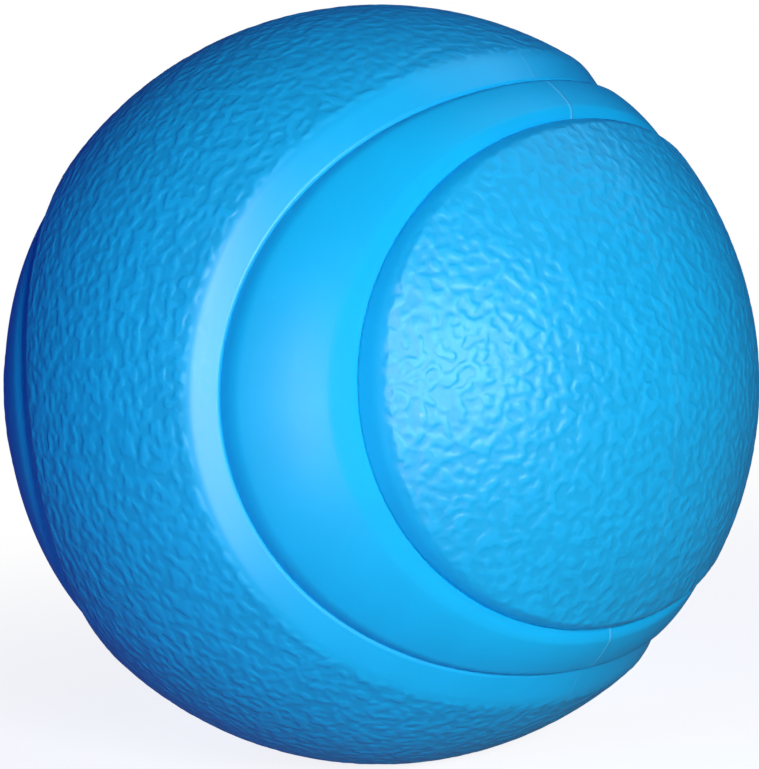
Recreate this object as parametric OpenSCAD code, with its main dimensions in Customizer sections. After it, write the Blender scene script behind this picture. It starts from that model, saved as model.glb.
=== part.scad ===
/* [Ball] */
// Outside diameter, measured over the two panels
ball_d = 65; // [50:1:90]
// Thickness of the cover, from the core to the outside of a panel
cover_t = 2.5; // [2:0.1:4]
// Thickness of the hollow core's wall
core_wall = 3.5; // [2:0.1:6]

/* [Seam] */
// How far the seam swings to and fro: 0 is a plain ring round the ball
seam_swing_share = 0.315; // [0.28:0.005:0.36]
// Width of the band where it rounds the end of a panel
band_end_w = 11.3; // [8:0.1:13]
// Width of the band where it runs beside a panel's broad lobe
band_side_w = 5; // [3.5:0.1:6.5]

/* [Relief] */
// Depth of the two grooves, below the outside of the panels
groove_depth = 1; // [0.5:0.05:1.4]
// Height of the panels over the middle of the band
band_drop = 0.35; // [0.1:0.05:0.6]
// How much lower the band lies at the top of its flanks than in its middle
band_crown = 0.12; // [0:0.02:0.2]
// Width of the front panel's bevelled shoulder where the band is widest
front_shoulder_end_w = 2.5; // [1.6:0.1:3]
// The same where the band is narrowest
front_shoulder_side_w = 2.8; // [1.6:0.1:3]
// Width of the rear panel's bevelled shoulder where the band is widest
rear_shoulder_end_w = 2; // [1.2:0.1:3]
// The same where the band is narrowest
rear_shoulder_side_w = 1.2; // [1:0.1:3]
// Reach of the rounding to each side of a shoulder's upper edge
shoulder_round = 0.4; // [0.3:0.1:0.6]
// Part of the band's half width that its flank takes where it rounds a lobe
flank_share = 0.38; // [0.3:0.02:0.5]
// The same where it runs past a waist
waist_flank_share = 0.1; // [0.08:0.01:0.2]
// Part of a flank's width that the rounding of its upper edge takes, round a lobe
flank_round_share = 0.15; // [0.1:0.05:0.6]
// The same past a waist
waist_round_share = 0.8; // [0.3:0.05:0.9]

/* [Bonding] */
// Thickness of the rubber cement between the core and the cover
cover_cement_t = 0.1; // [0.1:0.02:0.2]
// Thickness of the rubber cement between the rims of the two cups
rim_cement_t = 0.3; // [0.2:0.05:0.5]
// Radius of the bead of cement that stands inside the rim joint
bead_r = 0.8; // [0.4:0.1:1.5]
// Gap left between a panel's wall and the band's wall
seam_gap = 0.06; // [0.04:0.02:0.12]

/* [Hidden] */

// Number of stations round the seam, a multiple of 8 so that both panels meet the band at the same ones
stations = 120;
// Rings between a panel's shoulder and its spine, outside and inside
field_rings = 5;
lining_rings = 6;
// Where a panel's spine ends, as a share of the way to the end of the panel
spine_share = 0.68;
// How far the spine's points bunch towards its two ends
spine_bunch_share = 0.75;
// Steps across the inner face of the band
band_base_steps = 4;
// Facets round the core
core_fn = 180;

ball_r = ball_d / 2;
core_r = ball_r - cover_t;
cavity_r = core_r - core_wall;
lining_r = core_r + cover_cement_t;

// Two parts of the seam curve: a turn round the ball, and three smaller turns against it
turn = 1 / (1 + seam_swing_share);
counter_turn = 1 - turn;
swing = 2 * sqrt(turn * counter_turn);

rubber_blue = [0.13, 0.62, 0.91];
band_blue = [0.18, 0.70, 0.97];
core_grey = [0.35, 0.37, 0.40];
cement_amber = [0.85, 0.72, 0.45];

function unit(v) = v / norm(v);

// Angle at the ball's centre for a distance along its surface
function arc_angle(s) = s * 180 / (PI * ball_r);

// Middle of the seam on a ball of radius 1: the closed curve that turns the ball into two equal panels.
// The front panel's middle is at -Y, the rear panel's at +Y.
function seam(t) = [
  turn * cos(t) - counter_turn * cos(3 * t),
  -swing * cos(2 * t),
  turn * sin(t) + counter_turn * sin(3 * t)
];

// Direction of travel along the seam, and the direction across it towards the front panel
function seam_dir(t) = unit([
  -turn * sin(t) + 3 * counter_turn * sin(3 * t),
  2 * swing * sin(2 * t),
  turn * cos(t) + 3 * counter_turn * cos(3 * t)
]);
function seam_side(t) = cross(seam(t), seam_dir(t));

// Point of the unit ball at a distance s across the seam
function beside_seam(t, s) = cos(arc_angle(s)) * seam(t) + sin(arc_angle(s)) * seam_side(t);

// The band is widest round the ends of the panels and narrowest beside their lobes
function band_half_w(t) = (band_side_w + (band_end_w - band_side_w) * pow(cos(2 * t), 2)) / 2;

// Drop of a bevel of width w at a distance s from its foot; its upper edge is rounded by e to each side
function bevel_drop(s, w, drop, e) =
  s <= w - e ? drop * (1 - s / w)
  : s < w + e ? drop * pow(w + e - s, 2) / (4 * e * w)
  : 0;

// Places across the band are given by q, from -1 at the rear panel's groove to 1 at the front panel's.
// How far the band rounds a lobe of the panel on that side: 1 at the end of the lobe, 0 at a waist
function lobe_part(t, q) = (1 - sign(q) * cos(2 * t)) / 2;

// Flank and the rounding of its upper edge on that side, as parts of the band's half width
function flank_part(t, q) = waist_flank_share + (flank_share - waist_flank_share) * lobe_part(t, q);
function bend_part(t, q) =
  flank_part(t, q) * (waist_round_share + (flank_round_share - waist_round_share) * lobe_part(t, q));

// Radius of the band's outside
function band_r(t, q) =
  let (a = abs(q), top = 1 - flank_part(t, q))
  ball_r - band_drop - band_crown * pow(min(a, top) / top, 2)
  - bevel_drop(1 - a, 1 - top, groove_depth - band_drop - band_crown, bend_part(t, q));

// Spine of the front panel: an arc in the plane X = 0, from the middle of one lobe to that of the other.
// Its points follow the seam round, closer together towards the two ends.
end_angle = atan2(seam(90).z, -seam(90).y);
function spine_angle(t) =
  spine_share * end_angle
  * (spine_bunch_share * sin(t) + (1 - spine_bunch_share) * asin(sin(t)) / 90);
function spine(t) = [0, -cos(spine_angle(t)), sin(spine_angle(t))];

function station(i) = 360 * (i % stations) / stations;

// Point of the unit ball on the front panel, at a distance s from the panel's wall
function inside_wall(t, s) = beside_seam(t, band_half_w(t) + seam_gap / 2 + s);

// Width of a panel's shoulder, given its widths where the band is widest and narrowest
function shoulder_w(t, end_w, side_w) = side_w + (end_w - side_w) * pow(cos(2 * t), 2);

// The four rings that form a panel's shoulder, and the distance of the last of them from the panel's wall
function shoulder_ring(k, end_w, side_w) = [
  for (i = [0:stations - 1])
    let (t = station(i), w = shoulder_w(t, end_w, side_w), s = k == 0 ? 0 : w + (k - 2) * shoulder_round)
      (ball_r - bevel_drop(s, w, groove_depth, shoulder_round)) * inside_wall(t, s)
];
function shoulder_reach(t, end_w, side_w) = shoulder_w(t, end_w, side_w) + shoulder_round;

// Ring of points inside the wall, and a ring that lies part of the way from there to the spine
function wall_ring() = [for (i = [0:stations - 1]) inside_wall(station(i), 0)];
function towards_spine(t, s, part) =
  let (from = inside_wall(t, s)) unit(from + part * (spine(t) - from));

// The spine's points, each of which serves the stations on its two sides
spine_points = [for (i = [-stations / 4:stations / 4]) spine(360 * i / stations)];
function spine_index(i) =
  let (k = i % stations, q = stations / 4) (k <= q ? k : k <= 3 * q ? 2 * q - k : k - 4 * q) + q;

// Triangles between two closed rings, given as the indices of their points, and the same faces turned over
function ring_faces(lower, upper) = [
  for (i = [0:stations - 1]) each [
    [lower[i], upper[i], upper[(i + 1) % stations]],
    [lower[i], upper[(i + 1) % stations], lower[(i + 1) % stations]]
  ]
];
function turned(faces) = [for (f = faces) [f[0], f[2], f[1]]];

// A dog-bone panel with its middle at -Y and its lobes bent round towards +Z and -Z
module dog_bone_panel(end_w, side_w) {
  outside = concat(
    [for (k = [0:3]) shoulder_ring(k, end_w, side_w)],
    [for (k = [1:field_rings]) [
      for (i = [0:stations - 1])
        let (t = station(i))
          ball_r * towards_spine(t, shoulder_reach(t, end_w, side_w), k / (field_rings + 1))
    ]]
  );
  lining = concat(
    [lining_r * wall_ring()],
    [for (k = [1:lining_rings]) [
      for (i = [0:stations - 1]) lining_r * towards_spine(station(i), 0, k / (lining_rings + 1))
    ]]
  );
  spine_n = len(spine_points);
  rings = concat(outside, lining);
  first = 2 * spine_n;
  function ring_index(k) = [for (i = [0:stations - 1]) first + k * stations + i];
  top_spine = [for (i = [0:stations - 1]) spine_index(i)];
  low_spine = [for (i = [0:stations - 1]) spine_n + spine_index(i)];
  top_n = len(outside);
  all_n = len(rings);
  points = concat(
    [for (p = spine_points) ball_r * p],
    [for (p = spine_points) lining_r * p],
    [for (r = rings) each r]
  );
  faces = concat(
    [for (k = [0:top_n - 2]) each ring_faces(ring_index(k), ring_index(k + 1))],
    ring_faces(ring_index(top_n - 1), top_spine),
    turned([for (k = [top_n:all_n - 2]) each ring_faces(ring_index(k), ring_index(k + 1))]),
    turned(ring_faces(ring_index(all_n - 1), low_spine)),
    ring_faces(ring_index(top_n), ring_index(0))
  );
  polyhedron(points = points, faces = faces, convexity = 6);
}

// Section of the core's wall, from the axis outwards
module wall_section() {
  intersection() {
    difference() {
      circle(r = core_r, $fn = core_fn);
      circle(r = cavity_r, $fn = core_fn);
    }
    translate([0, -core_r]) square([core_r, 2 * core_r]);
  }
}

// Half of the hollow core, on the -Y side of its rim
module core_cup() {
  rotate([90, 0, 0])
    rotate_extrude($fn = core_fn)
      intersection() {
        wall_section();
        translate([0, rim_cement_t / 2]) square([core_r, core_r]);
      }
}

module core_cup_front() {
  color(core_grey) core_cup();
}

module core_cup_rear() {
  color(core_grey) rotate([0, 0, 180]) core_cup();
}

module rim_cement_ring() {
  color(cement_amber)
    rotate([90, 0, 0])
      rotate_extrude($fn = core_fn)
        union() {
          intersection() {
            wall_section();
            translate([0, -rim_cement_t / 2]) square([core_r, rim_cement_t]);
          }
          intersection() {
            circle(r = cavity_r, $fn = core_fn);
            translate([cavity_r, 0]) circle(r = bead_r, $fn = core_fn);
          }
        }
}

module cover_panel_front() {
  color(rubber_blue) dog_bone_panel(front_shoulder_end_w, front_shoulder_side_w);
}

module cover_panel_rear() {
  color(rubber_blue)
    rotate(a = 180, v = [1, 0, 1]) dog_bone_panel(rear_shoulder_end_w, rear_shoulder_side_w);
}

// Places across the band of the edges of its facets on one side, from the groove to near the middle
function flank_steps(t, side) =
  let (top = 1 - flank_part(t, side), bend = bend_part(t, side))
  side * [1, top + bend, top, top - bend, top / 2];
function reversed(v) = [for (k = [len(v) - 1:-1:0]) v[k]];

module seam_band() {
  base_steps = [for (k = [0:band_base_steps]) 1 - 2 * k / band_base_steps];
  loop_n = 2 * len(flank_steps(0, 1)) + 1 + len(base_steps);
  points = [
    for (i = [0:stations - 1]) each
      let (
        t = station(i),
        half = band_half_w(t) - seam_gap / 2,
        outside_steps = concat(flank_steps(t, -1), [0], reversed(flank_steps(t, 1)))
      ) concat(
        [for (q = outside_steps) band_r(t, q) * beside_seam(t, q * half)],
        [for (q = base_steps) lining_r * beside_seam(t, q * half)]
      )
  ];
  faces = [
    for (i = [0:stations - 1], j = [0:loop_n - 1])
      let (
        a = i * loop_n + j,
        b = ((i + 1) % stations) * loop_n + j,
        c = ((i + 1) % stations) * loop_n + (j + 1) % loop_n,
        d = i * loop_n + (j + 1) % loop_n
      ) each [[a, d, c], [a, c, b]]
  ];
  color(band_blue) polyhedron(points = points, faces = faces, convexity = 8);
}

core_cup_front();
core_cup_rear();
rim_cement_ring();
cover_panel_front();
cover_panel_rear();
seam_band();
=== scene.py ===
import math

import bpy
import numpy as np
from mathutils import Matrix, Vector


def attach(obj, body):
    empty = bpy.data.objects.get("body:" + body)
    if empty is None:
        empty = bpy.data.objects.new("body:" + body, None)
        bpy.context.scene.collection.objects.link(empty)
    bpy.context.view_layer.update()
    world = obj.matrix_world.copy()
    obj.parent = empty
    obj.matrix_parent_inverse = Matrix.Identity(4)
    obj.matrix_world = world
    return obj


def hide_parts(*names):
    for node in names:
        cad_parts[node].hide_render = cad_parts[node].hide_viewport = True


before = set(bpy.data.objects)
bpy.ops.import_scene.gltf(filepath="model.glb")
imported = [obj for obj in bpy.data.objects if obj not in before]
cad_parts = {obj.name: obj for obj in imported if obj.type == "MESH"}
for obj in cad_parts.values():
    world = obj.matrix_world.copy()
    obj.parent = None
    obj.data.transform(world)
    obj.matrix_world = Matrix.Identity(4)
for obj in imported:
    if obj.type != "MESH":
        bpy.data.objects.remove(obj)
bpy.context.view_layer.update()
millimetre = 0.001
print("frame loaded, nodes:", sorted(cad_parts))


# The ball's own sizes, in mm, from the CAD model
ball = {
    "radius": 32.5,          # over the two panels
    "liningRadius": 30.1,    # inner face of the cover
    "seamSwing": 0.315,      # how far the seam swings to and fro
    "bandEndWidth": 11.3,    # round the end of a panel
    "bandSideWidth": 5.0,    # beside a panel's broad lobe
    "seamGap": 0.012,        # narrower than in the CAD model, where it keeps the solids apart
}

# Leather grain of the panels, in mm: raised pebbles on a smoother ground
grain = {
    "pebbleSize": 0.82,          # cells of the noise that the pebbles are cut from
    "bendSize": 0.8,             # cells of the noises that bend them
    "bendReach": 0.2,            # the most that they are bent
    "edge": (-0.38, 0.44),       # noise value at a pebble's foot and at its top
    "softEdge": (-0.42, 0.50),   # the same, for the mesh, whose faces are 0.3 mm wide
    "rippleSize": 0.45,          # cells of the fine ripple
    "rippleShare": 0.15,         # its share in the height of the grain
    "meshHeight": 0.047,         # height of the pebbles in the mesh
    "bumpHeight": 0.052,         # height that the material adds to them
    # Places at which the three noises that bend the pebbles, and the ripple, are read
    "shifts": ((17.3, 5.1, 9.7), (41.9, 22.4, 3.6), (8.8, 63.1, 27.5), (3.4, 12.6, 51.2)),
}

# Parting line of the mould: a thin raised line in a plane through the ball's centre
parting = {
    "tilt": 3.3,             # degrees, about X, from the plane Y = 0
    "width": 0.2,            # from its middle to each side
    "height": 0.03,
    "panelShare": 0.3,       # how much of it stands on a panel's smooth shoulder
    "grainedShare": 0.15,    # how much of it stands on the grain
}
partingNormal = (0, math.cos(math.radians(parting["tilt"])), -math.sin(math.radians(parting["tilt"])))


# Whole numbers at a corner of the noise's grid, scrambled to one 32-bit number with Noise Texture's own constants.
def hashCorner(x, y, z):
    start = np.uint32(0xDEADBEEF + 25)
    v = [x.astype(np.uint32) + start, y.astype(np.uint32) + start, z.astype(np.uint32) + start]
    for to, by, bits in ((2, 1, 14), (0, 2, 11), (1, 0, 25), (2, 1, 16), (0, 2, 4), (1, 0, 14), (2, 1, 24)):
        turned = (v[by] << np.uint32(bits)) | (v[by] >> np.uint32(32 - bits))
        v[to] = (v[to] ^ v[by]) - turned
    return v[2]


# Perlin noise from -1 to 1 at points in mm, in cells of one size: the slope at each corner of a cell, blended
# across it by 6t^5 - 15t^4 + 10t^3, times 0.982. It gives what Noise Texture gives with no detail.
def gradientNoise(points, size, shift=(0, 0, 0)):
    p = (points + np.array(shift)) / size
    cell = np.floor(p).astype(np.int64)
    inside = p - cell
    blend = inside ** 3 * (inside * (inside * 6 - 15) + 10)
    total = 0
    for corner in np.ndindex(2, 2, 2):
        h = hashCorner(*np.moveaxis(cell + corner, -1, 0)) & np.uint32(15)
        x, y, z = np.moveaxis(inside - corner, -1, 0)
        u = np.where(h < 8, x, y)
        v = np.where(h < 4, y, np.where((h == 12) | (h == 14), x, z))
        slope = np.where(h & 1, -u, u) + np.where(h & 2, -v, v)
        total = total + slope * np.where(corner, blend, 1 - blend).prod(-1)
    return 0.982 * total


# 0 below low, 1 above high, and 3t^2 - 2t^3 between them.
def smoothStep(low, high, value):
    t = np.clip((value - low) / (high - low), 0, 1)
    return t * t * (3 - 2 * t)


# first + (second - first) * part
def between(first, second, part):
    return first + (second - first) * part


# Height of the grain from 0 to 1: noise at a bent place, cut off below and above, and a fine ripple.
def grainHeight(points):
    bend = [gradientNoise(points, grain["bendSize"], s) for s in grain["shifts"][:3]]
    bent = points + grain["bendReach"] * np.stack(bend, -1)
    pebbles = smoothStep(*grain["softEdge"], gradientNoise(bent, grain["pebbleSize"]))
    ripple = 0.5 + 0.5 * gradientNoise(points, grain["rippleSize"], grain["shifts"][3])
    return (1 - grain["rippleShare"]) * pebbles + grain["rippleShare"] * ripple


# Height of the parting line in mm: a bell across its plane.
def partingHeight(points):
    off = points @ np.array(partingNormal)
    return parting["height"] * np.exp(-(off / parting["width"]) ** 2)


turn = 1 / (1 + ball["seamSwing"])
counterTurn = 1 - turn
swing = 2 * math.sqrt(turn * counterTurn)


# Middle of the seam on a ball of radius 1: a turn round the ball and three smaller turns against it.
def seamPoint(t):
    return np.stack([turn * np.cos(t) - counterTurn * np.cos(3 * t), -swing * np.cos(2 * t),
                     turn * np.sin(t) + counterTurn * np.sin(3 * t)], -1)


# v divided by its length.
def unit(v):
    return v / np.linalg.norm(v, axis=-1, keepdims=True)


# Point of the unit ball at a distance s in mm across the seam, towards the front panel.
def besideSeam(t, s):
    travel = unit(np.stack([-turn * np.sin(t) + 3 * counterTurn * np.sin(3 * t), 2 * swing * np.sin(2 * t),
                            turn * np.cos(t) + 3 * counterTurn * np.cos(3 * t)], -1))
    a = (s / ball["radius"])[..., None]
    return np.cos(a) * seamPoint(t) + np.sin(a) * np.cross(seamPoint(t), travel)


# How far the band rounds a lobe of the panel on one side, 1 for the front panel and -1 for the rear: 1 at the
# end of the lobe, 0 at a waist.
def lobePart(t, side):
    return (1 - side * np.cos(2 * t)) / 2


# Half the band's width: widest where it rounds a panel's end, by the square of a cosine.
def bandHalfWidth(t):
    return between(ball["bandSideWidth"], ball["bandEndWidth"], np.cos(2 * t) ** 2) / 2


# Drop of a bevel at a distance s from its foot: a straight slope, then a parabola over its upper edge.
def bevelDrop(s, width, drop, rounding):
    slope = drop * (1 - s / width)
    edge = drop * (width + rounding - s) ** 2 / (4 * rounding * width)
    return np.where(s <= width - rounding, slope, np.where(s < width + rounding, edge, 0))


# Quads between two closed rings of point numbers.
def gridFaces(lower, upper):
    return np.stack([lower, np.roll(lower, -1), np.roll(upper, -1), upper], -1)


sharpAngle = 50              # degrees between two faces, from which their edge is shaded as a sharp one


# A mesh object at the origin, its points in mm turned to metres. Its faces are turned to point outwards where the
# sum of a . (b x c) over their triangles, six times the volume, is negative.
def addPiece(name, points, faces, attributes=()):
    corners = points[faces]
    volume = np.einsum("ij,ij->i", corners[:, 0], np.cross(corners[:, 1], corners[:, 2])).sum()
    volume += np.einsum("ij,ij->i", corners[:, 0], np.cross(corners[:, 2], corners[:, 3])).sum()
    if volume < 0:
        faces = faces[:, ::-1]
    mesh = bpy.data.meshes.new(name)
    mesh.vertices.add(len(points))
    mesh.vertices.foreach_set("co", (points * millimetre).astype(np.float32).ravel())
    mesh.loops.add(faces.size)
    mesh.loops.foreach_set("vertex_index", faces.astype(np.int32).ravel())
    mesh.polygons.add(len(faces))
    mesh.polygons.foreach_set("loop_start", np.arange(0, faces.size, 4, dtype=np.int32))
    mesh.update(calc_edges=True)
    mesh.validate()
    mesh.shade_smooth()
    mesh.set_sharp_from_angle(angle=math.radians(sharpAngle))
    for key, values in attributes:
        layer = mesh.attributes.new(key, "FLOAT", "POINT")
        layer.data.foreach_set("value", values.astype(np.float32).ravel())
    piece = bpy.data.objects.new(name, mesh)
    bpy.context.scene.collection.objects.link(piece)
    print(name, len(points), "points,", 2 * len(faces), "triangles")
    return piece


# Cover panels: sizes in mm, shares, and numbers of points
panel = {
    "stations": 900,         # round the seam, a multiple of 8
    "footRings": (0, 0.15, 0.3, 0.5, 0.7, 1),   # as shares of the foot's reach
    "slopeRings": 6,
    "bendRings": 8,
    "fieldRings": 82,        # from the shoulder to the spine
    "liningRings": 6,
    "ringGap": 0.02,         # from the foot's last ring to the first one of the slope
    "edgeDepth": 1.15,       # depth of the panels' edges under the ball's surface
    "grainFade": (-0.15, 0.55),   # distances past the shoulder from which and to which the grain rises
    "spineShare": 0.68,      # where the spine ends, as a share of the way to the end of the panel
    "spineBunching": 0.75,   # how far its points bunch towards its two ends
    "spineDistance": 9.0,    # the spine's own distance from the seam, well past any shoulder
}
# Smooth shoulder of each panel, at its lobes' ends and its waists ("end") and beside them ("side"): its width, its
# drop, and the reach of the rounding down into the seam at its foot. The higher endSpread is, the shorter are the
# ends. roundingShare is the part of the width that the rounding of the upper edge takes.
frontShoulder = {"endWidth": 2.5, "sideWidth": 2.8, "endDrop": 1.0, "sideDrop": 1.0, "endFoot": 0.22,
                 "sideFoot": 0.3, "endSpread": 1, "roundingShare": 0.25}
rearShoulder = {"endWidth": 1.9, "sideWidth": 1.1, "endDrop": 1.11, "sideDrop": 0.98, "endFoot": 0.12,
                "sideFoot": 0.45, "endSpread": 2, "roundingShare": 0.52}


# Dog-bone panel: rings round the seam from the groove to a spine, worked out as directions, then given a radius,
# which is the ball's less the shoulder's drop, plus the grain and the parting line. The shoulder goes from its side
# values to its end values by cos(2t) to the power 2 * endSpread, and its foot falls on by a parabola. place turns
# the directions of the front panel into those of this one.
def addPanel(name, shoulder, place):
    n = panel["stations"]
    t = np.arange(n) * 2 * math.pi / n
    ends = np.cos(2 * t) ** (2 * shoulder["endSpread"])
    width, bevel, footReach = (between(shoulder["side" + key], shoulder["end" + key], ends)
                               for key in ("Width", "Drop", "Foot"))
    rounding = shoulder["roundingShare"] * width
    foot = footReach * np.array(panel["footRings"])[:, None]
    start = footReach + panel["ringGap"]
    slope = between(start, width - rounding, np.linspace(0, 1, panel["slopeRings"])[:, None])
    bend = width + rounding * np.linspace(-1, 1, panel["bendRings"] + 1)[1:, None]
    rings = np.concatenate([foot, slope, bend])
    reach = rings[-1]
    wall = bandHalfWidth(t) + ball["seamGap"] / 2
    edge = besideSeam(t[None, :].repeat(len(rings), 0), wall + rings)

    end = seamPoint(np.array(math.pi / 2))
    endAngle = math.atan2(end[2], -end[1])
    quarter = n // 4
    k = np.arange(-quarter, quarter + 1) / quarter
    bunching = panel["spineBunching"]
    spineAngle = panel["spineShare"] * endAngle * (bunching * np.sin(k * math.pi / 2) + (1 - bunching) * k)
    spine = np.stack([0 * spineAngle, -np.cos(spineAngle), np.sin(spineAngle)], -1)
    i = np.arange(n)
    spineIndex = np.where(i <= quarter, i, np.where(i <= 3 * quarter, 2 * quarter - i, i - n)) + quarter

    # Directions at even steps on the way from a ring to the spine.
    def field(start, count):
        part = (np.arange(1, count + 1) / (count + 1))[:, None, None]
        return unit(between(start[None], spine[spineIndex][None], part))

    top = np.concatenate([edge, field(edge[-1], panel["fieldRings"])])
    lining = np.concatenate([edge[:1], field(edge[0], panel["liningRings"])])
    s = np.concatenate([rings, reach[None, :].repeat(panel["fieldRings"], 0)])
    top, lining, spine = place(top), place(lining), place(spine)

    # Points of the panel's outside in these directions, s mm past its edge, and how grained each one is.
    def outside(directions, s, width, bevel=0, footReach=1):
        ground = directions * ball["radius"]
        mask = smoothStep(*panel["grainFade"], s - width)
        drop = bevelDrop(s, width, bevel, shoulder["roundingShare"] * width)
        drop = drop + (panel["edgeDepth"] - bevel) * np.clip(1 - s / footReach, 0, 1) ** 2
        line = partingHeight(ground) * between(parting["panelShare"], parting["grainedShare"], mask)
        relief = grain["meshHeight"] * (mask * grainHeight(ground) - 1) + line
        return directions * (ball["radius"] - drop + relief)[..., None], mask

    topPoints, mask = outside(top, s, width[None, :], bevel[None, :], footReach[None, :])
    spinePoints, spineMask = outside(spine, np.full(len(spine), panel["spineDistance"]), 1.0)
    parts = [spinePoints, spine * ball["liningRadius"], topPoints.reshape(-1, 3),
             (lining * ball["liningRadius"]).reshape(-1, 3)]
    points = np.concatenate(parts)
    masks = np.concatenate([spineMask, 0 * spineMask, mask.ravel(), np.zeros(lining[..., 0].size)])
    first = 2 * len(spine)
    topRing = first + np.arange(len(top) * n).reshape(-1, n)
    liningRing = topRing.size + first + np.arange(len(lining) * n).reshape(-1, n)
    faces = [gridFaces(topRing[j], topRing[j + 1]) for j in range(len(top) - 1)]
    faces.append(gridFaces(topRing[-1], spineIndex))
    faces += [gridFaces(liningRing[j + 1], liningRing[j]) for j in range(len(lining) - 1)]
    faces.append(gridFaces(len(spine) + spineIndex, liningRing[-1]))
    faces.append(gridFaces(liningRing[0], topRing[0]))
    return addPiece(name, points, np.concatenate(faces), [("grainMask", masks)])


# No turn: the front panel lies where the seam curve puts it.
def frontPlace(directions):
    return directions


# Half a turn about the line (1, 0, 1): (x, y, z) goes to (z, -y, x).
def rearPlace(directions):
    return directions[..., ::-1] * np.array([1, -1, 1])


panelFront = addPanel("panel_front_grained", frontShoulder, frontPlace)
panelRear = addPanel("panel_rear_grained", rearShoulder, rearPlace)


# Seam band: sizes in mm, shares, and numbers of points
band = {
    "stations": 1520,        # round the seam, a multiple of 8
    "drop": 0.35,            # height of the panels over the middle of the band
    "crown": 0.12,           # how much lower the band lies at the top of its flanks
    "flankShare": 0.38,      # part of its half width that its flank takes where it rounds a lobe
    "waistFlankShare": 0.2,  # the same where it runs past a waist
    "creaseShare": 0.1,      # part of a flank that the rounding of its upper edge takes, round a lobe
    "waistCreaseShare": 0.8,   # the same past a waist
    "filletShare": 0.1,      # part of a flank that its hollow foot takes, round a lobe
    "waistFilletShare": 0.9,   # the same past a waist
    "filletRoom": 0.9,       # the most that the hollow foot takes of what the crease leaves of a flank
    "lipDepth": 1.2,         # depth of the foot of a straight flank under the ball's surface
    "lipRounding": 0.24,     # reach of the rounding at the band's very edge, round a lobe
    "waistLipRounding": 0.1,   # the same past a waist
    "footColumns": (0, 0.07, 0.16, 0.3, 0.45, 0.6, 0.8, 1),   # as shares of the hollow foot
    "slopeColumns": 3,
    "bendColumns": 7,
    "crownColumns": 8,
    "liningColumns": 7,
}


# Closed sweep round the seam: a profile of distances from the band's two edges, with flanks that are broad and
# sharply creased round a lobe, and narrow and round past a waist, by the square of lobePart. The band's middle falls
# to its flanks by a parabola, each flank is a bevel, and a parabola takes the slope out of its hollow foot.
def addBand(name):
    n = band["stations"]
    t = np.arange(n) * 2 * math.pi / n
    half = (bandHalfWidth(t) - ball["seamGap"] / 2)[:, None]
    depth = band["lipDepth"] - band["drop"] - band["crown"]

    # Places from one edge of the band to its middle, and how deep each lies under the ball's surface.
    def sideProfile(side):
        lobe = lobePart(t, side)[:, None] ** 2
        flank = half * between(band["waistFlankShare"], band["flankShare"], lobe)
        crease = flank * between(band["waistCreaseShare"], band["creaseShare"], lobe)
        fillet = flank * between(band["waistFilletShare"], band["filletShare"], lobe ** 2)
        reach = np.minimum(fillet, band["filletRoom"] * (flank - crease))
        foot = reach * np.array([band["footColumns"]])
        slope = between(reach, flank - crease, np.linspace(0, 1, band["slopeColumns"] + 1)[None, 1:])
        bend = flank + crease * np.linspace(-1, 1, band["bendColumns"] + 1)[None, 1:]
        crown = between(bend[:, -1:], half, np.linspace(0, 1, band["crownColumns"] + 1)[None, 1:])
        inward = np.concatenate([foot, slope, bend, crown], 1)
        share = np.minimum((half - inward) / (half - flank), 1)
        drop = band["drop"] + band["crown"] * share ** 2 + bevelDrop(inward, flank, depth, crease)
        drop = drop - depth / flank * np.clip(reach - inward, 0, None) ** 2 / (2 * reach)
        lip = between(band["waistLipRounding"], band["lipRounding"], lobe ** 2)
        drop = drop + np.clip(lip - inward, 0, None) ** 2 / (2 * lip)
        return side * (half - inward), drop

    rearAcross, rearDrop = sideProfile(-1)
    frontAcross, frontDrop = sideProfile(1)
    across = np.concatenate([rearAcross, frontAcross[:, -2::-1]], 1)
    drop = np.concatenate([rearDrop, frontDrop[:, -2::-1]], 1)
    columns = across.shape[1]
    directions = besideSeam(t[:, None].repeat(columns, 1), across)
    relief = partingHeight(directions * ball["radius"])
    outer = directions * (ball["radius"] - drop + relief)[..., None]

    base = np.linspace(1, -1, band["liningColumns"])[None, :] * half
    inner = besideSeam(t[:, None].repeat(band["liningColumns"], 1), base) * ball["liningRadius"]
    loop = np.concatenate([outer, inner], 1)
    index = np.arange(loop.shape[0] * loop.shape[1]).reshape(n, -1)
    ahead = np.roll(index, -1, 0)
    faces = np.stack([index, ahead, np.roll(ahead, -1, 1), np.roll(index, -1, 1)], -1).reshape(-1, 4)
    return addPiece(name, loop.reshape(-1, 3), faces)


seamBand = addBand("seam_band_crowned")


# Shader node with its settings. An input takes a number, or a link where it is given a socket.
def addNode(tree, kind, values=None, **settings):
    node = tree.nodes.new(kind)
    for key, value in settings.items():
        setattr(node, key, value)
    for key, value in (values or {}).items():
        if isinstance(value, bpy.types.NodeSocket):
            tree.links.new(value, node.inputs[key])
        else:
            node.inputs[key].default_value = value
    return node


# One of Math's operations on numbers or sockets.
def mathNode(tree, operation, *values, **settings):
    return addNode(tree, "ShaderNodeMath", dict(enumerate(values)), operation=operation, **settings).outputs[0]


# toLow below low, toHigh above high, and smoothStep between them.
def rangeNode(tree, value, low, high, toLow=0.0, toHigh=1.0):
    values = {"Value": value, "From Min": low, "From Max": high, "To Min": toLow, "To Max": toHigh}
    return addNode(tree, "ShaderNodeMapRange", values, interpolation_type="SMOOTHSTEP").outputs[0]


# first + (second - first) * factor, for colours.
def mixColour(tree, factor, first, second):
    return addNode(tree, "ShaderNodeMix", {0: factor, 6: first, 7: second}, data_type="RGBA").outputs[2]


# Object coordinates in mm.
def objectMillimetres(tree):
    place = addNode(tree, "ShaderNodeTexCoord").outputs["Object"]
    return addNode(tree, "ShaderNodeVectorMath", {0: place, "Scale": 1 / millimetre}, operation="SCALE").outputs[0]


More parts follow.
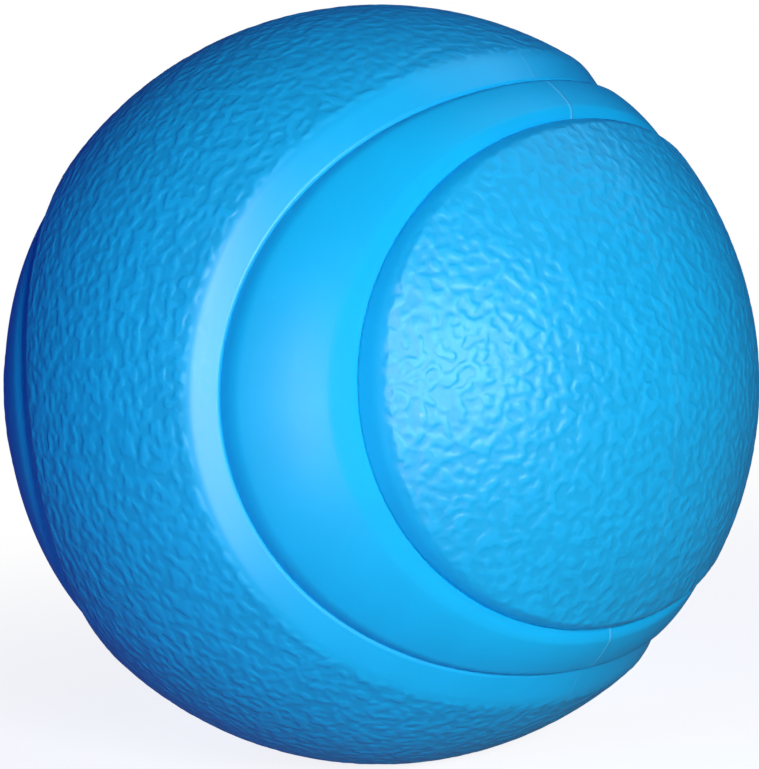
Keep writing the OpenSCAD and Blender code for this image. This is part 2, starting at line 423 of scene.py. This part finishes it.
# Noise from -1 to 1 in cells of one size in mm, the same as gradientNoise gives when detail is 0.
def noiseNode(tree, place, size, shift=(0, 0, 0), detail=0.0):
    moved = addNode(tree, "ShaderNodeVectorMath", {0: place, 1: shift}, operation="ADD").outputs[0]
    values = {"Vector": moved, "Scale": 1 / size, "Detail": detail, "Roughness": 0.5, "Distortion": 0.0}
    return addNode(tree, "ShaderNodeTexNoise", values, normalize=False).outputs[0]


# Empty node group with named inputs and outputs.
def newGroup(name, inputs, outputs):
    tree = bpy.data.node_groups.new(name, "ShaderNodeTree")
    for label, kind, value in inputs:
        socket = tree.interface.new_socket(label, in_out="INPUT", socket_type="NodeSocket" + kind)
        socket.default_value = value
    for label, kind in outputs:
        tree.interface.new_socket(label, in_out="OUTPUT", socket_type="NodeSocket" + kind)
    return tree, tree.nodes.new("NodeGroupInput").outputs, tree.nodes.new("NodeGroupOutput").inputs


# A group placed in a material, with its own values.
def useGroup(tree, group, values=None):
    return addNode(tree, "ShaderNodeGroup", values, node_tree=group).outputs


# Leather grain as a height from 0 to 1, in the same places as the relief of the mesh
grainGroup, given, wanted = newGroup(
    "leatherGrain",
    [("Pebble size", "Float", grain["pebbleSize"]), ("Foot", "Float", grain["edge"][0]),
     ("Top", "Float", grain["edge"][1]), ("Ripple share", "Float", grain["rippleShare"])],
    [("Height", "Float"), ("Pebbles", "Float")])
place = objectMillimetres(grainGroup)
bends = [noiseNode(grainGroup, place, grain["bendSize"], s) for s in grain["shifts"][:3]]
bend = addNode(grainGroup, "ShaderNodeCombineXYZ", dict(enumerate(bends))).outputs[0]
bent = addNode(grainGroup, "ShaderNodeVectorMath", {0: bend, 1: (grain["bendReach"],) * 3, 2: place},
               operation="MULTIPLY_ADD").outputs[0]
cellScale = mathNode(grainGroup, "DIVIDE", 1.0, given["Pebble size"])
cells = addNode(grainGroup, "ShaderNodeTexNoise", {"Vector": bent, "Scale": cellScale, "Detail": 0.0},
                normalize=False).outputs[0]
pebbles = rangeNode(grainGroup, cells, given["Foot"], given["Top"])
ripple = noiseNode(grainGroup, place, grain["rippleSize"], grain["shifts"][3])
ripple = mathNode(grainGroup, "MULTIPLY_ADD", ripple, 0.5, 0.5)
height = addNode(grainGroup, "ShaderNodeMix", {0: given["Ripple share"], 2: pebbles, 3: ripple}).outputs[0]
grainGroup.links.new(height, wanted["Height"])
grainGroup.links.new(pebbles, wanted["Pebbles"])

# Parting line as a mask
partingGroup, given, wanted = newGroup("partingLine", [("Width", "Float", parting["width"])], [("Mask", "Float")])
place = objectMillimetres(partingGroup)
off = addNode(partingGroup, "ShaderNodeVectorMath", {0: place, 1: partingNormal},
              operation="DOT_PRODUCT").outputs["Value"]
off = mathNode(partingGroup, "ABSOLUTE", off)
partingGroup.links.new(rangeNode(partingGroup, off, given["Width"], 0.0), wanted["Mask"])

# Slow change of tone over the moulded rubber, and a finer one
toneGroup, given, wanted = newGroup(
    "rubberTone", [("Patch size", "Float", 9.0), ("Fine size", "Float", 0.25)],
    [("Tone", "Float"), ("Fine", "Float")])
place = objectMillimetres(toneGroup)
patchScale = mathNode(toneGroup, "DIVIDE", 1.0, given["Patch size"])
patches = addNode(toneGroup, "ShaderNodeTexNoise", {"Vector": place, "Scale": patchScale, "Detail": 2.0}).outputs[0]
toneGroup.links.new(patches, wanted["Tone"])
fineScale = mathNode(toneGroup, "DIVIDE", 1.0, given["Fine size"])
fine = addNode(toneGroup, "ShaderNodeTexNoise", {"Vector": place, "Scale": fineScale, "Detail": 2.0}).outputs[0]
toneGroup.links.new(fine, wanted["Fine"])

# Dust and dark specks: one speck in some cells of a grid
speckGroup, given, wanted = newGroup(
    "specks", [("Spacing", "Float", 7.0), ("Size", "Float", 0.25), ("Share", "Float", 0.2)], [("Mask", "Float")])
place = objectMillimetres(speckGroup)
speckScale = mathNode(speckGroup, "DIVIDE", 1.0, given["Spacing"])
voronoi = addNode(speckGroup, "ShaderNodeTexVoronoi", {"Vector": place, "Scale": speckScale})
reachOut = mathNode(speckGroup, "DIVIDE", given["Size"], given["Spacing"])
spot = rangeNode(speckGroup, voronoi.outputs["Distance"], reachOut, 0.0)
chance = addNode(speckGroup, "ShaderNodeSeparateColor", {0: voronoi.outputs["Color"]}).outputs[0]
chosen = mathNode(speckGroup, "LESS_THAN", chance, given["Share"])
speckGroup.links.new(mathNode(speckGroup, "MULTIPLY", spot, chosen), wanted["Mask"])


# Material with its node tree and its Principled shader.
def newMaterial(name, viewportColour):
    material = bpy.data.materials.new(name)
    material.use_nodes = True
    material.diffuse_color = viewportColour
    tree = material.node_tree
    return material, tree, tree.nodes["Principled BSDF"]


# Normal for a height from 0 to 1 that stands so many mm high.
def bumpNode(tree, height, fullHeight, **more):
    values = {"Height": height, "Strength": 1.0, "Distance": fullHeight * millimetre, **more}
    return addNode(tree, "ShaderNodeBump", values).outputs[0]


# Colour, roughness and normal into the shader.
def linkFinish(tree, shader, colour, roughness, normal):
    tree.links.new(colour, shader.inputs["Base Color"])
    tree.links.new(roughness, shader.inputs["Roughness"])
    tree.links.new(normal, shader.inputs["Normal"])


# Blue rubber of the cover
rubber = {
    "colour": (0.006, 0.510, 0.935, 1),
    "bandColour": (0.006, 0.530, 0.955, 1),
    # pale colour of the specks, and of the painted highlight along the parting line
    "paleDustAndLineHighlight": (0.45, 0.72, 0.86, 1),
    "dirt": (0.02, 0.16, 0.34, 1),
    "roughness": 0.35,
    "grainRoughness": 0.42,
    "bandRoughness": 0.44,
    "roughnessChange": 0.03,
    "specular": 0.5,
    "paintedValleyShade": 0.91,         # painted shade: how much darker the ground between the pebbles is drawn
    "patchShade": 0.94,          # tone of the darker patches
    "fineRelief": 0.06,          # height of the finest unevenness, as a share of the grain's
    "paintedLineHighlight": 0.18,            # painted highlight: how much paler the parting line is drawn
    "paleSpecks": {"Spacing": 8.0, "Size": 0.3, "Share": 0.12},
    "paleStrength": 0.6,
    "darkSpecks": {"Spacing": 6.1, "Size": 0.16, "Share": 0.12},
    "darkStrength": 0.5,
}
toneSpan = (0.3, 0.7)            # values of a noise between which its tone changes


# Moulded rubber: tone, a painted highlight along the parting line, and specks in its colour, a fine change of its
# roughness, and where it is grained, painted shade in the valleys and the grain's height times the grain mask.
def rubberMaterial(name, colour, roughness, grained):
    material, tree, shader = newMaterial(name, colour)
    tone = useGroup(tree, toneGroup)
    line = mathNode(tree, "MULTIPLY", useGroup(tree, partingGroup)["Mask"], parting["panelShare"] if grained else 1.0)
    pale = useGroup(tree, speckGroup, rubber["paleSpecks"])["Mask"]
    dark = useGroup(tree, speckGroup, rubber["darkSpecks"])["Mask"]
    shaded = tuple(rubber["patchShade"] * c for c in colour[:3]) + (1,)
    base = mixColour(tree, rangeNode(tree, tone["Tone"], *toneSpan), shaded, colour)
    # painted highlight: the parting line is drawn paler
    base = mixColour(tree, mathNode(tree, "MULTIPLY", line, rubber["paintedLineHighlight"]), base, rubber["paleDustAndLineHighlight"])
    base = mixColour(tree, mathNode(tree, "MULTIPLY", pale, rubber["paleStrength"]), base, rubber["paleDustAndLineHighlight"])
    base = mixColour(tree, mathNode(tree, "MULTIPLY", dark, rubber["darkStrength"]), base, rubber["dirt"])
    change = rubber["roughnessChange"]
    rough = rangeNode(tree, tone["Fine"], *toneSpan, roughness - change, roughness + change)
    lift = mathNode(tree, "MULTIPLY", tone["Fine"], rubber["fineRelief"])
    if grained:
        relief = useGroup(tree, grainGroup)
        mask = addNode(tree, "ShaderNodeAttribute", attribute_name="grainMask").outputs["Fac"]
        # painted shade: the ground between the pebbles is drawn darker than the pebbles' tops
        valleyPaintedShade = mathNode(tree, "MULTIPLY", mathNode(tree, "SUBTRACT", 1.0, relief["Pebbles"]), mask)
        valleyPaintedShade = mathNode(tree, "MULTIPLY_ADD", valleyPaintedShade, rubber["paintedValleyShade"] - 1, 1.0)
        base = addNode(tree, "ShaderNodeVectorMath", {0: base, "Scale": valleyPaintedShade}, operation="SCALE").outputs[0]
        lift = mathNode(tree, "MULTIPLY_ADD", relief["Height"], mask, lift)
        fainter = parting["grainedShare"] / parting["panelShare"]
        line = mathNode(tree, "MULTIPLY", line, mathNode(tree, "MULTIPLY_ADD", mask, fainter - 1, 1.0))
        rough = mathNode(tree, "MULTIPLY_ADD", mask, rubber["grainRoughness"] - rubber["roughness"], rough)
    bump = bumpNode(tree, lift, grain["bumpHeight"])
    bump = bumpNode(tree, line, parting["height"], Normal=bump)
    linkFinish(tree, shader, base, rough, bump)
    shader.inputs["Specular IOR Level"].default_value = rubber["specular"]
    return material


panelRubber = rubberMaterial("panelRubber", rubber["colour"], rubber["roughness"], True)
bandRubber = rubberMaterial("bandRubber", rubber["bandColour"], rubber["bandRoughness"], False)

# Grey rubber of the core, and the amber cement between its rims, with the size and the height in mm of their mottle
core = {"colour": (0.10, 0.11, 0.13, 1), "paleColour": (0.16, 0.17, 0.19, 1), "roughness": 0.75,
        "mottleSize": 0.5, "height": 0.04}
cement = {"colour": (0.58, 0.40, 0.16, 1), "paleColour": (0.72, 0.55, 0.27, 1), "roughness": 0.35,
          "mottleSize": 1.4, "height": 0.05}
inner = {
    "detail": 3.0,
    "colourSpan": 0.4,           # the mottle's values, to each side of 0, over which the colour changes
    "roughnessSpan": 0.5,        # the same for the roughness
    "roughnessChange": 0.06,
}


# Mottled finish: one noise gives the colour, the roughness and the relief.
def innerMaterial(name, finish):
    material, tree, shader = newMaterial(name, finish["colour"])
    mottle = noiseNode(tree, objectMillimetres(tree), finish["mottleSize"], detail=inner["detail"])
    paleness = rangeNode(tree, mottle, -inner["colourSpan"], inner["colourSpan"])
    base = mixColour(tree, paleness, finish["colour"], finish["paleColour"])
    low, high = finish["roughness"] - inner["roughnessChange"], finish["roughness"] + inner["roughnessChange"]
    rough = rangeNode(tree, mottle, -inner["roughnessSpan"], inner["roughnessSpan"], low, high)
    linkFinish(tree, shader, base, rough, bumpNode(tree, mottle, finish["height"]))
    return material


coreRubber = innerMaterial("coreRubber", core)
cementFilm = innerMaterial("cementFilm", cement)
innerFinishes = {"core_cup_front": coreRubber, "core_cup_rear": coreRubber, "rim_cement_ring": cementFilm}
for node, material in innerFinishes.items():
    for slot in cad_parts[node].material_slots:
        slot.material = material

for piece, material, node, slot in ((panelFront, panelRubber, "cover_panel_front", "panel_rubber"),
                                    (panelRear, panelRubber, "cover_panel_rear", "panel_rubber"),
                                    (seamBand, bandRubber, "seam_band", "band_rubber")):
    piece.data.materials.append(material)
    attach(piece, "root")
    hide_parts(node)
print("materials on")


# Floor that the ball stands on: pale, with the ball's shadow, and fading to white away from it
floorPlan = {
    "half": 4.0,                 # half its side, in m
    "colour": (0.40, 0.39, 0.39, 1),
    "roughness": 0.9,
    "glow": 0.85,                # what it shows to the camera beside the light that falls on it
    "fadeStart": 0.05,           # distances from the ball, in m, from which and to which it turns white
    "fadeEnd": 0.25,
}
mirrorShare = 0.015              # how strongly the rubber, which is no mirror, shows the white room
half, low = floorPlan["half"], -ball["radius"] * millimetre
corners = [(-half, -half, low), (half, -half, low), (half, half, low), (-half, half, low)]
floorMesh = bpy.data.meshes.new("floor")
floorMesh.from_pydata(corners, [], [(0, 1, 2, 3)])
floor = bpy.data.objects.new("floor", floorMesh)
bpy.context.scene.collection.objects.link(floor)
floor.visible_shadow = False     # some lamps stand lower than it


# 1 for rays from the camera and through glass, and a share of that for mirrored rays, else 0.
def seenDirectly(tree):
    path = addNode(tree, "ShaderNodeLightPath").outputs
    mirrored = mathNode(tree, "MULTIPLY", path["Is Glossy Ray"], mirrorShare)
    seen = mathNode(tree, "MAXIMUM", path["Is Camera Ray"], mirrored)
    return mathNode(tree, "MAXIMUM", seen, path["Is Transmission Ray"])


material, tree, shader = newMaterial("paleFloor", floorPlan["colour"])
shader.inputs["Base Color"].default_value = floorPlan["colour"]
shader.inputs["Roughness"].default_value = floorPlan["roughness"]
shader.inputs["Specular IOR Level"].default_value = 0.0
seen = seenDirectly(tree)
glow = addNode(tree, "ShaderNodeEmission", {"Strength": mathNode(tree, "MULTIPLY", seen, floorPlan["glow"])})
lit = addNode(tree, "ShaderNodeAddShader", {0: shader.outputs[0], 1: glow.outputs[0]})
place = addNode(tree, "ShaderNodeTexCoord").outputs["Object"]
away = addNode(tree, "ShaderNodeVectorMath", {0: place}, operation="LENGTH").outputs["Value"]
fade = rangeNode(tree, away, floorPlan["fadeStart"], floorPlan["fadeEnd"])
white = addNode(tree, "ShaderNodeEmission", {"Strength": 1.0})
mix = addNode(tree, "ShaderNodeMixShader", {0: mathNode(tree, "MULTIPLY", seen, fade), 1: lit.outputs[0],
                                            2: white.outputs[0]})
tree.links.new(mix.outputs[0], tree.nodes["Material Output"].inputs["Surface"])
floorMesh.materials.append(material)

# Room: white where it is seen, a soft bluish fill where it lights
room = {"fill": (0.05, 0.12, 1.0, 1), "fillStrength": 0.15}
world = bpy.data.worlds.new("studio")
world.use_nodes = True
bpy.context.scene.world = world
tree = world.node_tree
tree.nodes.clear()
fill = addNode(tree, "ShaderNodeBackground", {"Color": room["fill"], "Strength": room["fillStrength"]})
white = addNode(tree, "ShaderNodeBackground", {"Color": (1, 1, 1, 1), "Strength": 1.0})
mix = addNode(tree, "ShaderNodeMixShader", {0: seenDirectly(tree), 1: fill.outputs[0], 2: white.outputs[0]})
addNode(tree, "ShaderNodeOutputWorld", {"Surface": mix.outputs[0]})

# Camera at the photograph's place, in ball radii and degrees; the camera is rolled a little
view = {"azimuth": 44.55, "elevation": 3.79, "roll": -6.7, "distance": 7.5, "lens": 132.3, "near": 0.01, "far": 50}
azimuth, elevation = math.radians(view["azimuth"]), math.radians(view["elevation"])


# Unit vector at an angle a round the ball from -Y, and e up.
def direction(a, e):
    return Vector((math.sin(a) * math.cos(e), -math.cos(a) * math.cos(e), math.sin(e)))


back = direction(azimuth, elevation)
lookAt = back.to_track_quat("Z", "Y").to_matrix()
camera = bpy.data.objects.new("camera", bpy.data.cameras.new("camera"))
bpy.context.scene.collection.objects.link(camera)
turned = lookAt @ Matrix.Rotation(math.radians(view["roll"]), 3, "Z")
camera.matrix_world = Matrix.Translation(back * view["distance"] * ball["radius"] * millimetre) @ turned.to_4x4()
camera.data.lens = view["lens"]
camera.data.clip_start, camera.data.clip_end = view["near"], view["far"]
bpy.context.scene.camera = camera

# Lamps: direction from the ball in camera terms (degrees right of the camera, and up), distance, width and height
# in m. A small lamp beside the camera and a bluish one from the left light the ball, and two behind it light the side
# that faces away; the others only leave their highlights, some of them on the panels or on the band alone.
neutral = (1, 1, 1)
everything, panels, bandAlone = (), (panelFront, panelRear), (seamBand,)
cover = panels + bandAlone
lamps = {
    "key": {"right": 12.5, "up": 4.5, "distance": 0.35, "size": (0.08, 0.08), "power": 1.02, "colour": neutral,
            "shows": "light", "onto": everything},
    "blue": {"right": -75, "up": -25, "distance": 1.2, "size": (0.6, 0.6), "power": 2.1, "colour": (0.0, 0.08, 1),
             "shows": "light", "onto": everything},
    "behindLeft": {"right": -167, "up": 4, "distance": 0.32, "size": (0.08, 0.08), "power": 0.4, "colour": neutral,
                   "shows": "light", "onto": cover},
    "behindRight": {"right": 167, "up": 4, "distance": 0.32, "size": (0.08, 0.08), "power": 0.4, "colour": neutral,
                    "shows": "light", "onto": cover},
    "glint": {"right": -11, "up": 5, "distance": 1.2, "size": (0.15, 1.8), "power": 13.5, "colour": neutral,
              "shows": "highlight", "onto": panels},
    "bandGlint": {"right": -17, "up": -2, "distance": 1.2, "size": (0.2, 0.9), "power": 6, "colour": neutral,
                  "shows": "highlight", "onto": bandAlone},
    "sheen": {"right": 24, "up": 3, "distance": 1.2, "size": (0.6, 0.6), "power": 8.8, "colour": neutral,
              "shows": "highlight", "onto": panels},
    "rim": {"right": 95, "up": 45, "distance": 1.2, "size": (0.8, 0.8), "power": 1.5, "colour": neutral,
            "shows": "highlight", "onto": everything},
}
for name, lamp in lamps.items():
    towards = direction(azimuth + math.radians(lamp["right"]), elevation + math.radians(lamp["up"]))
    data = bpy.data.lights.new(name, "AREA")
    data.shape = "ELLIPSE"
    data.size, data.size_y = lamp["size"]
    data.energy = lamp["power"]
    data.color = lamp["colour"]
    light = bpy.data.objects.new(name, data)
    light.visible_glossy = lamp["shows"] == "highlight"
    light.visible_diffuse = lamp["shows"] == "light"
    light.location = towards * lamp["distance"]
    light.rotation_mode = "QUATERNION"
    light.rotation_quaternion = towards.to_track_quat("Z", "Y")
    bpy.context.scene.collection.objects.link(light)
    if lamp["onto"]:
        receivers = bpy.data.collections.new(name + "_receivers")
        for piece in lamp["onto"]:
            receivers.objects.link(piece)
        light.light_linking.receiver_collection = receivers

bpy.context.scene.view_settings.view_transform = "Standard"
print("camera and lamps set")
